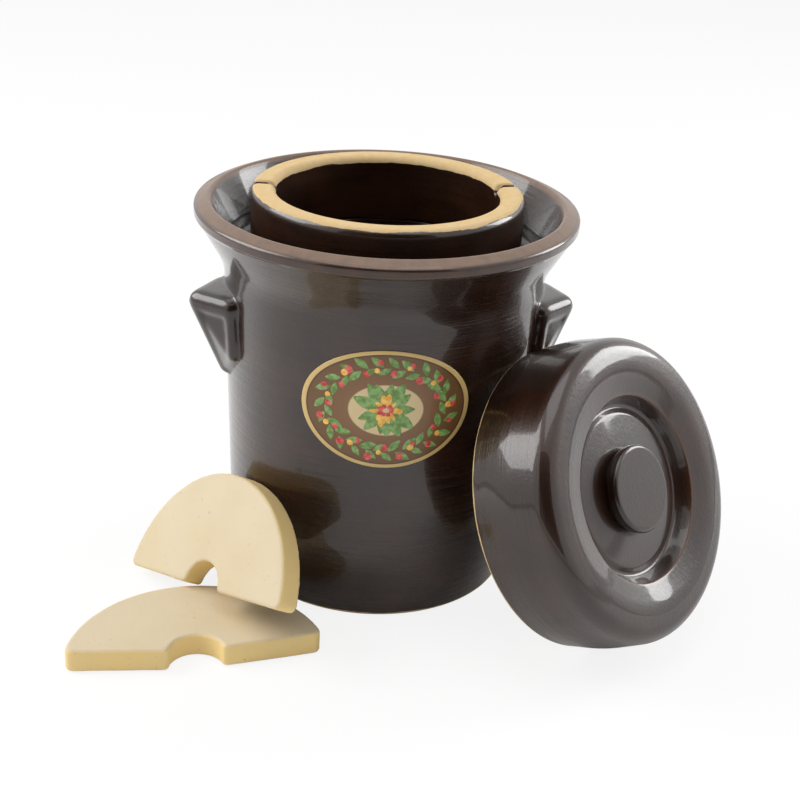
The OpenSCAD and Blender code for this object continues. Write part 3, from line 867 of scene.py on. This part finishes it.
class CROCK_OT_neck(bpy.types.Operator):
    """Set the neck ring with its bare rim and two gas notches in the gutter"""

    bl_idname = "crock.neck"
    bl_label = "Neck ring"

    def execute(self, context):
        s = context.scene.crock_sizes
        colours = context.scene.crock_colours
        loop = rounded([
            (s.mouth_radius, GUTTER_FLOOR, 0), (NECK_RADIUS, GUTTER_FLOOR, 0),
            (NECK_RADIUS, NECK_TOP, s.neck_round), (s.mouth_radius, NECK_TOP, s.neck_round),
        ], 8)
        loop = spaced(loop + loop[:1], 1.6 * MM)

        def bare(f):
            edge = NECK_TOP - 1.9 * MM + (f.noise(38, 3) - 0.5) * (3 * MM)
            drips = f.noise(170, 2, (1, 1, 0.3)) * (0.8 * MM)
            inner = f.step(f.radius, s.mouth_radius + 2 * MM, s.mouth_radius + 7 * MM, 3 * MM, 0)
            return f.step(f.height - edge - drips + inner, 0.0, 0.0003)

        finish = glaze_finish("Neck glaze", colours, None, bare, rings=0.5)
        ring = Thrown().turned("neck_ring", loop, finish, 720, s.ring_depth * 0.6, s.ring_gap,
                               s.seed + 1, lambda p: 0.6)
        self.press_notches(ring.data, s)
        dressed(ring, finish, "crock", "dark_glaze", "neck_ring")
        ring.name = "neck_rim"
        return {"FINISHED"}

    @staticmethod
    def press_notches(mesh, s):
        """Presses a soft U into the rim at each notch."""
        low = NECK_TOP - 2.4 * s.notch_depth
        for vertex in mesh.vertices:
            p = vertex.co
            if p.z < low:
                continue
            for direction in (s.left_notch, s.right_notch):
                out = p.x * cos(direction) + p.y * sin(direction)
                side = p.y * cos(direction) - p.x * sin(direction)
                if out < 0:
                    continue
                depth = s.notch_depth / (1 + (abs(side) / (s.notch_width / 2)) ** 7)
                p.z = low + (p.z - low) * (1 - depth / (NECK_TOP - low))


class CROCK_OT_handles(bpy.types.Operator):
    """Model the two lug handles out of the wall"""

    bl_idname = "crock.handles"
    bl_label = "Lug handles"

    def execute(self, context):
        s = context.scene.crock_sizes
        colours = context.scene.crock_colours

        def thin(f):
            ridge = f.add("ShaderNodeAttribute", {"attribute_name": "ridge"}, None, "Fac")
            patch = f.step(f.noise(110, 3), 0.35, 0.65, 0.35, 1.0)
            return f.step(ridge, 0.35, 0.8) * patch * 0.6

        finish = glaze_finish("Handle glaze", colours, None, None, thin, rings=0.35)
        for side, direction, reach in (("left", s.left_handle, s.left_reach),
                                       ("right", s.right_handle, s.right_reach)):
            lug = self.lug(s, f"handle_{side}_form", reach)
            kneaded(lug, s.handle_cell, s.handle_rounds)
            self.mark_ridges(lug.data)
            lug.data.transform(Matrix.Rotation(direction, 4, "Z"))
            dressed(lug, finish, "crock", "dark_glaze", f"handle_{side}")
            lug.name = f"lug_{side}"
        return {"FINISHED"}

    def lug(self, s, name, reach):
        """Hood, keel, side ridges and the clay between them on a patch of wall, facing +X."""
        top = flare_start(s) - s.handle_under
        margin = 7 * MM
        lip, ridge, keel = s.handle_lip, s.handle_ridge, s.handle_keel
        tip = (s.shoulder_radius + reach - lip, 0, top - 0.5 * MM - lip)
        hood_z = top - lip
        hood_y = s.handle_width / 2 - lip
        end_z = top - s.handle_height + keel
        ridge_y = s.handle_width / 2 - ridge
        bend_z = (hood_z + 2 * end_z) / 3

        def at(y, z, out=0.0):
            return (wall_radius(s, z) + out, y, z)

        work = bmesh.new()
        self.hull(work, (tip, lip), (at(hood_y, hood_z), lip), (at(-hood_y, hood_z), lip))
        self.hull(work, (tip, lip), (at(0, end_z), keel + 1 * MM))
        sides = [(at(side * ridge_y * 0.85, z), ridge) for side in (-1, 1) for z in (hood_z, bend_z)]
        self.hull(work, (at(0, top - 1.9 * lip, reach * 0.5), lip), (at(0, end_z), keel), *sides)
        for side in (-1, 1):
            self.hull(work, (at(side * ridge_y, hood_z, ridge * 0.3), ridge),
                      (at(side * ridge_y, bend_z), ridge))
            self.hull(work, (at(side * ridge_y, bend_z), ridge),
                      (at(side * keel / 2, end_z), ridge))
        self.wall_patch(work, s, end_z - 9 * MM, top + margin, s.handle_width / 2 + margin)
        mesh = bpy.data.meshes.new(name)
        work.to_mesh(mesh)
        work.free()
        return linked(bpy.data.objects.new(name, mesh))

    @staticmethod
    def hull(work, *balls):
        """Adds the hull of some balls."""
        pattern = bmesh.new()
        bmesh.ops.create_icosphere(pattern, subdivisions=3, radius=1)
        points = [work.verts.new(Vector(place) + v.co * size)
                  for place, size in balls for v in pattern.verts]
        pattern.free()
        out = bmesh.ops.convex_hull(work, input=points)
        unused = {v for v in out["geom_interior"] + out["geom_unused"]
                  if isinstance(v, bmesh.types.BMVert) and not v.link_faces}
        bmesh.ops.delete(work, geom=list(unused), context="VERTS")

    @staticmethod
    def wall_patch(work, s, low, high, half_width, sunk=0.55 * MM, depth=5 * MM):
        """Adds a slab that lies just inside the wall, for the lug to flow out of."""
        rows, columns = 12, 16
        grids = []
        for inset in (sunk, depth):
            grid = []
            for i in range(rows + 1):
                z = low + (high - low) * i / rows
                r = wall_radius(s, z) - inset
                grid.append([
                    work.verts.new((r * cos(a), r * sin(a), z))
                    for a in ((2 * j / columns - 1) * half_width / s.shoulder_radius
                              for j in range(columns + 1))
                ])
            grids.append(grid)
        front, back = grids
        for i in range(rows):
            for j in range(columns):
                for g, order in ((front, 1), (back, -1)):
                    ring = [g[i][j], g[i][j + 1], g[i + 1][j + 1], g[i + 1][j]]
                    work.faces.new(ring[::order])
        border = [(i, 0) for i in range(rows)] + [(rows, j) for j in range(columns)]
        border += [(i, columns) for i in range(rows, 0, -1)]
        border += [(0, j) for j in range(columns, 0, -1)]
        for k, (i, j) in enumerate(border):
            m, n = border[(k + 1) % len(border)]
            work.faces.new([front[i][j], front[m][n], back[m][n], back[i][j]])

    @staticmethod
    def mark_ridges(mesh):
        """Stores up to 1 on the ridges, where the glaze runs thin, and 0 elsewhere."""
        work = bmesh.new()
        work.from_mesh(mesh)
        work.verts.ensure_lookup_table()
        bend = []
        for v in work.verts:
            around = sum((e.other_vert(v).co for e in v.link_edges), Vector())
            count = max(1, len(v.link_edges))
            bend.append((v.co - around / count).dot(v.normal) / MM)
        near = [[e.other_vert(v).index for e in v.link_edges] for v in work.verts]
        work.free()
        for _ in range(12):
            bend = [0.5 * b + 0.5 * sum(bend[j] for j in n) / max(1, len(n))
                    for b, n in zip(bend, near)]
        marks = mesh.attributes.new("ridge", "FLOAT", "POINT")
        top = max(bend)
        for item, b in zip(marks.data, bend):
            item.value = max(0.0, b / top)


class CROCK_OT_lid(bpy.types.Operator):
    """Throw the lid and its knob and lean them on the pot"""

    bl_idname = "crock.lid"
    bl_label = "Lid and knob"

    def execute(self, context):
        s = context.scene.lid_sizes
        colours = context.scene.crock_colours
        own = lid_place(s)

        def bare(f):
            line = 1.4 * MM + (f.noise(70, 2) - 0.5) * (1.6 * MM)
            return f.step(f.height - line, 0.0, 0.0005, 1, 0)

        def thin(f):
            edge = f.band(f.radius, s.well_radius - 1.5 * MM, s.well_radius + 1.2 * MM, 1 * MM)
            edge = edge * f.step(f.height, s.height - s.crest_drop - 4 * MM,
                                 s.height - s.crest_drop)
            pool = f.band(f.radius, s.boss_radius - 2 * MM, s.well_radius - 2 * MM, 2 * MM)
            pool = pool * f.step(f.height, s.height - s.well_depth,
                                 s.height - s.well_depth + 4 * MM, 1, 0)
            return edge * 0.8 + pool * 0.35

        finish = glaze_finish("Lid glaze", colours, own, bare, thin, rings=0.8)
        turner = Thrown()
        lid = turner.turned(
            "lid_form", lid_profile(s), finish, 256, s.ring_depth, s.ring_gap, s.seed,
            lambda p: 1.0 if 5 * MM < p.y < s.height - 4 * MM else 0.0,
        )
        knob = turner.turned(
            "knob_form", knob_profile(s), finish, 128, s.knob_ring_depth, s.knob_ring_gap,
            s.seed + 1, lambda p: 1.0 if p.x > 10 * MM else 0.0,
        )
        for piece, node, name in ((lid, "lid_shell", "lid_dome"),
                                  (knob, "lid_knob", "knob_disc")):
            piece.data.transform(own)
            dressed(piece, finish, "lid", "dark_glaze", node)
            piece.name = name
        return {"FINISHED"}


class CROCK_OT_stones(bpy.types.Operator):
    """Shape the two half-moon weight stones out of bare clay"""

    bl_idname = "crock.stones"
    bl_label = "Weight stones"

    def execute(self, context):
        s = context.scene.stone_sizes
        finish = stone_finish(context.scene.crock_colours)
        lift = next(j for j in frame["joints"] if j["child"] == "upper_stone")
        face_of = {"lower": Vector((0, 0, 1)), "upper": Vector(lift["axis"])}
        for name, body in (("lower", "lower_stone"), ("upper", "upper_stone")):
            node = f"weight_stone_{name}"
            stone = linked(bpy.data.objects.new(
                f"{name}_stone_form", frame["nodes"][node].data.copy()))
            closed(stone)
            kneaded(stone, s.grain, s.smoothing)
            outward = [vertex.normal.copy() for vertex in stone.data.vertices]
            # Marks the sides that take the painted warm bounce light.
            self.mark_sides(stone.data, outward, face_of[name])
            for vertex, normal in zip(stone.data.vertices, outward):
                dent = noise.noise(vertex.co * 38) * 0.5 + noise.noise(vertex.co * 90) * 0.2
                vertex.co -= normal * s.dent * (0.5 + dent)
            dressed(stone, finish, body, "bare_stoneware", node)
            stone.name = f"half_moon_{name}"
        return {"FINISHED"}

    @staticmethod
    def mark_sides(mesh, outward, face):
        """Stores 1 where the stone's surface is a side and 0 where it is a face: the mask of the painted
        warm bounce light on the sides.
        """
        starts, spread = 0.12, 0.5
        marks = mesh.attributes.new("side", "FLOAT", "POINT")
        for item, normal in zip(marks.data, outward):
            slope = 1 - abs(normal.dot(face))
            item.value = max(0.0, min(1.0, (slope - starts) / spread))


class CROCK_OT_label(bpy.types.Operator):
    """Print the oval label with a plain leaf garland and no words"""

    bl_idname = "crock.label"
    bl_label = "Label"

    def execute(self, context):
        s = context.scene.label_sizes
        pot = context.scene.crock_sizes
        colours = context.scene.crock_colours
        plate = self.plate(s, pot)
        dressed(plate, self.paper(colours), "crock", "label_print", "label")
        plate.name = "oval_label"
        self.garland(s, pot, colours)
        return {"FINISHED"}

    def garland(self, s, pot, colours):
        """Leaves and berries round the oval, and a rosette in its middle.

        A row holds a layer's name, ink and count, the share of the label's width and height
        of the oval that it follows, the length and width of one leaf in mm, how much its end
        tapers, its tilt and turn, how far it sways, and its distance from the oval in mm."""
        spray = Spray()
        inks = {name: self.ink(name, tuple(getattr(colours, name)))
                for name in ("leaf", "berry", "fruit")}
        rise = 10 * MM
        wall = wall_radius(pot, LABEL_MIDDLE)
        slope = (wall_radius(pot, LABEL_MIDDLE + rise) - wall) / rise
        surface = wall + s.glue + s.thickness
        quarter = pi / 2
        wide, high = s.width, s.height
        rows = (
            ("garland_leaves", "leaf", s.leaves, 0.72, 0.72, 10.5, 4.8, 0.75, radians(38), 0, 0.25, 0.3),
            ("garland_berries", "berry", s.leaves // 2, 0.72, 0.72, 5.0, 5.0, 0, 0, 0, 0.5, 3.6),
            ("garland_fruits", "fruit", s.leaves // 4, 0.72, 0.72, 4.2, 4.2, 0, 0, 0, 0.5, 1.2),
            ("rosette_leaves", "leaf", 13, 0.05, 0.05, 17.5, 7.6, 0.6, 0, -quarter, 0.12, 0),
            ("rosette_petals", "fruit", 10, 0.04, 0.04, 10.5, 5.2, 0.5, 0, -quarter, 0.08, 0),
            ("rosette_heart", "berry", 7, 0.035, 0.035, 3.8, 3.8, 0, 0, -quarter, 0.3, 0),
        )
        for layer, row in enumerate(rows):
            name, ink, count, across, up, long, broad, taper, tilt, turn_by, sway, side = row
            piece = spray.made(f"{name}_form", bpy.data.meshes.new(name), {
                "Count": count, "Oval width": across * wide, "Oval height": up * high,
                "Length": long * MM, "Width": broad * MM,
                "Rise": s.print_rise * (1 + 0.35 * layer), "Taper": float(taper),
                "Tilt": float(tilt), "Turn": float(turn_by), "Sway": sway,
                "Side": side * MM, "Seed": s.seed + layer, "Facing": s.facing,
                "Middle": LABEL_MIDDLE, "Wall radius": surface, "Wall slope": slope,
                "Finish": inks[ink]})
            dressed(piece, inks[ink], "crock", "label_print")
            piece.name = name

    @staticmethod
    def ink(name, shade):
        """Printed ink of one colour, a little uneven."""
        f = Finish(f"Ink {name}", IOR=1.45, Coat_Roughness=0.15, Coat_Weight=0.35)
        pale = tuple(min(1.0, 0.12 + 1.5 * v) for v in shade)
        uneven = f.step(f.noise(330, 3), 0.3, 0.7)
        f.bump(f.noise(300, 2), 0.00005)
        return f.surface(Base_Color=f.mix(uneven, shade, pale), Roughness=0.42 + uneven * 0.1)

    @staticmethod
    def on_wall(s, pot, x, z, out):
        """Place on the wall of a spot x along the label and z up, out from the wall."""
        r = wall_radius(pot, z) + out
        a = s.facing + x / wall_radius(pot, LABEL_MIDDLE)
        return Vector((r * cos(a), r * sin(a), z))

    def plate(self, s, pot, rings=22, around=160):
        """Thin oval shell with its own flat map and a soft edge."""
        edge_drop, edge_width = 0.2 * MM, 0.35 * MM
        work = bmesh.new()
        flat = work.loops.layers.uv.new("oval")
        spots = {}
        layers = []
        for out in (s.glue, s.glue + s.thickness):
            top = out > s.glue
            grid = []
            for i in range(rings + 1):
                share = (i / rings) ** 0.8
                lift = out
                if top and i == rings:
                    share, lift = 1.0, out - edge_drop
                elif top and i == rings - 1:
                    share = 1 - edge_width / (s.height / 2)
                row = []
                for k in range(around if i else 1):
                    a = 2 * pi * k / around
                    x, z = share * cos(a), share * sin(a)
                    v = work.verts.new(self.on_wall(
                        s, pot, x * s.width / 2, LABEL_MIDDLE + z * s.height / 2, lift))
                    spots[v] = (0.5 + x / 2, 0.5 + z / 2)
                    row.append(v)
                grid.append(row)
            layers.append(grid)
        for grid in layers:
            for k in range(around):
                n = (k + 1) % around
                work.faces.new([grid[0][0], grid[1][k], grid[1][n]])
                for i in range(1, rings):
                    work.faces.new([grid[i][k], grid[i + 1][k], grid[i + 1][n], grid[i][n]])
        under, over = layers
        for k in range(around):
            n = (k + 1) % around
            work.faces.new([under[-1][k], under[-1][n], over[-1][n], over[-1][k]])
        bmesh.ops.recalc_face_normals(work, faces=work.faces)
        for face in work.faces:
            face.smooth = True
            for loop in face.loops:
                loop[flat].uv = spots[loop.vert]
        mesh = bpy.data.meshes.new("label_form")
        work.to_mesh(mesh)
        work.free()
        return linked(bpy.data.objects.new("label_form", mesh))

    @staticmethod
    def paper(colours):
        """Border, thin line and brown field with a pale middle."""
        f = Finish("Label print", IOR=1.45, Coat_Roughness=0.15, Coat_Weight=0.35)
        spot = f.add("ShaderNodeUVMap", {"uv_map": "oval"})
        centred = f.add("ShaderNodeVectorMath", {"operation": "SUBTRACT"},
                        {0: spot, 1: (0.5, 0.5, 0)})
        reach = f.add("ShaderNodeVectorMath", {"operation": "LENGTH"}, {0: centred},
                      "Value") * 2
        fibres = f.noise(500, 3)
        field = f.mix(f.step(reach, 0.25, 0.95), tuple(colours.field_light), tuple(colours.field))
        field = f.mix(f.step(reach, 0.42, 0.44, 1, 0), field, tuple(colours.field_pale))
        shade = f.mix(f.step(reach, 0.915, 0.925), field, tuple(colours.line))
        shade = f.mix(f.step(reach, 0.935, 0.945), shade, tuple(colours.border))
        shade = f.mix(fibres * 0.12, shade, tuple(colours.fibre))
        f.bump(f.noise(300, 2), 0.00005)
        return f.surface(Base_Color=shade, Roughness=0.42 + fibres * 0.1)


class CROCK_OT_studio(bpy.types.Operator):
    """Set the floor, the soft lights and the camera"""

    bl_idname = "crock.studio"
    bl_label = "Studio"

    def execute(self, context):
        s = context.scene.studio_sizes
        context.scene.view_settings.view_transform = "Standard"
        self.ground()
        self.surround(context, s)
        self.softbox("Left softbox", (-1.7, 0.1, 1.35), (1.5, 1.3), s.left_light)
        self.softbox("Right softbox", (1.9, 0.75, 1.0), (0.9, 1.1), s.right_light)
        self.softbox("Top softbox", (0.1, -0.2, 2.3), (1.6, 1.6), s.top_light)
        self.dark_side()
        self.camera(context, s)
        return {"FINISHED"}

    @staticmethod
    def dark_side():
        """Dark wall of the room behind the camera, which only reflections see."""
        mesh = bpy.data.meshes.new("dark_side")
        mesh.from_pydata([(-1.6, -2.0, 0.25), (2.2, -2.6, 0.25), (2.2, -2.6, 3.2), (-1.6, -2.0, 3.2)],
                         [], [(0, 1, 2, 3)])
        panel = linked(bpy.data.objects.new("dark_side", mesh))
        material = bpy.data.materials.new("Dark cloth")
        material.use_nodes = True
        shader = material.node_tree.nodes["Principled BSDF"]
        shader.inputs["Base Color"].default_value = (0.02, 0.018, 0.016, 1)
        shader.inputs["Roughness"].default_value = 1.0
        mesh.materials.append(material)
        panel.visible_camera = False
        panel.visible_diffuse = False
        panel.visible_shadow = False
        panel.visible_transmission = False

    @staticmethod
    def ground():
        """Wide white floor that keeps the shadows."""
        mesh = bpy.data.meshes.new("floor")
        reach = 14.0
        below = 0.3 * MM
        mesh.from_pydata([(x * reach, y * reach, -below)
                          for x, y in ((-1, -1), (1, -1), (1, 1), (-1, 1))], [], [(0, 1, 2, 3)])
        floor = linked(bpy.data.objects.new("floor", mesh))
        material = bpy.data.materials.new("White ground")
        material.use_nodes = True
        t = Tree(material.node_tree)
        t.tree.nodes.clear()
        diffuse = t.add("ShaderNodeBsdfDiffuse", None, {"Color": (0.93, 0.93, 0.93)})
        glow = t.add("ShaderNodeEmission", None, {"Color": (1, 1, 1), "Strength": 1.0})
        glow_share = 0.85
        seen = t.add("ShaderNodeLightPath", None, None, "Is Camera Ray")
        both = t.add("ShaderNodeMixShader", None, {0: seen * glow_share, 1: diffuse, 2: glow})
        output = t.tree.nodes.new("ShaderNodeOutputMaterial")
        t.feed(output.inputs["Surface"], both)
        mesh.materials.append(material)

    @staticmethod
    def surround(context, s):
        """White background for the camera and for reflections, plain ambient light."""
        world = bpy.data.worlds.new("Studio")
        world.use_nodes = True
        context.scene.world = world
        t = Tree(world.node_tree)
        t.tree.nodes.clear()
        rays = t.tree.nodes.new("ShaderNodeLightPath")
        seen = Value(t, rays.outputs["Is Camera Ray"])
        glossy = Value(t, rays.outputs["Is Glossy Ray"])
        clear = Value(t, rays.outputs["Is Transmission Ray"])
        white = seen.math("MINIMUM", seen + glossy + clear, 1.0)
        strength = white * (1.0 - s.ambient) + s.ambient
        light = t.add("ShaderNodeBackground", None, {"Color": (1, 1, 1), "Strength": strength})
        output = t.tree.nodes.new("ShaderNodeOutputWorld")
        t.feed(output.inputs["Surface"], light)

    @staticmethod
    def softbox(name, place, size, power):
        """Rectangular area light that faces the crock."""
        aim = Vector((0, 0, 120 * MM))
        lamp = bpy.data.lights.new(name, "AREA")
        lamp.shape = "RECTANGLE"
        lamp.size, lamp.size_y = size
        lamp.energy = power
        obj = linked(bpy.data.objects.new(name, lamp))
        obj.location = place
        towards = aim - Vector(place)
        obj.rotation_euler = towards.to_track_quat("-Z", "Y").to_euler()

    @staticmethod
    def camera(context, s):
        """Camera at the photograph's viewpoint."""
        forward = Vector((sin(s.camera_yaw) * cos(s.camera_pitch),
                          cos(s.camera_yaw) * cos(s.camera_pitch), -sin(s.camera_pitch)))
        level = Vector((cos(s.camera_yaw), -sin(s.camera_yaw), 0))
        up = level.cross(forward)
        right = level * cos(s.camera_roll) + up * sin(s.camera_roll)
        up = up * cos(s.camera_roll) - level * sin(s.camera_roll)
        data = bpy.data.cameras.new("Camera")
        data.sensor_width = 36
        data.lens = s.focal
        data.clip_start = 0.01
        obj = linked(bpy.data.objects.new("Camera", data))
        turned = Matrix((right, up, -forward)).transposed().to_4x4()
        obj.matrix_world = Matrix.Translation((0, -s.camera_back, s.camera_height)) @ turned
        context.scene.camera = obj


class CROCK_PT_panel(bpy.types.Panel):
    """Lists the steps that dress the crock"""

    bl_label = "Pickle crock"
    bl_idname = "CROCK_PT_panel"
    bl_space_type = "VIEW_3D"
    bl_region_type = "UI"
    bl_category = "Crock"

    def draw(self, context):
        for step in OPERATORS:
            self.layout.operator(step.bl_idname)


OPERATORS = (CROCK_OT_body, CROCK_OT_neck, CROCK_OT_handles, CROCK_OT_lid, CROCK_OT_stones,
             CROCK_OT_label, CROCK_OT_studio)
GROUPS = {
    "crock_sizes": CrockSizes,
    "lid_sizes": LidSizes,
    "stone_sizes": StoneSizes,
    "label_sizes": LabelSizes,
    "crock_colours": CrockColours,
    "studio_sizes": StudioSizes,
}


def register():
    """Adds the classes and their settings to Blender."""
    for item in (*GROUPS.values(), *OPERATORS, CROCK_PT_panel):
        bpy.utils.register_class(item)
    for name, group in GROUPS.items():
        setattr(bpy.types.Scene, name, PointerProperty(type=group))


def unregister():
    """Takes them away again."""
    for name in GROUPS:
        delattr(bpy.types.Scene, name)
    for item in (CROCK_PT_panel, *reversed(OPERATORS), *GROUPS.values()):
        bpy.utils.unregister_class(item)


def main():
    """Dresses the whole crock."""
    register()
    for step in (bpy.ops.crock.body, bpy.ops.crock.neck, bpy.ops.crock.handles,
                 bpy.ops.crock.lid, bpy.ops.crock.stones, bpy.ops.crock.label,
                 bpy.ops.crock.studio):
        step()


if __name__ == "__main__":
    main()
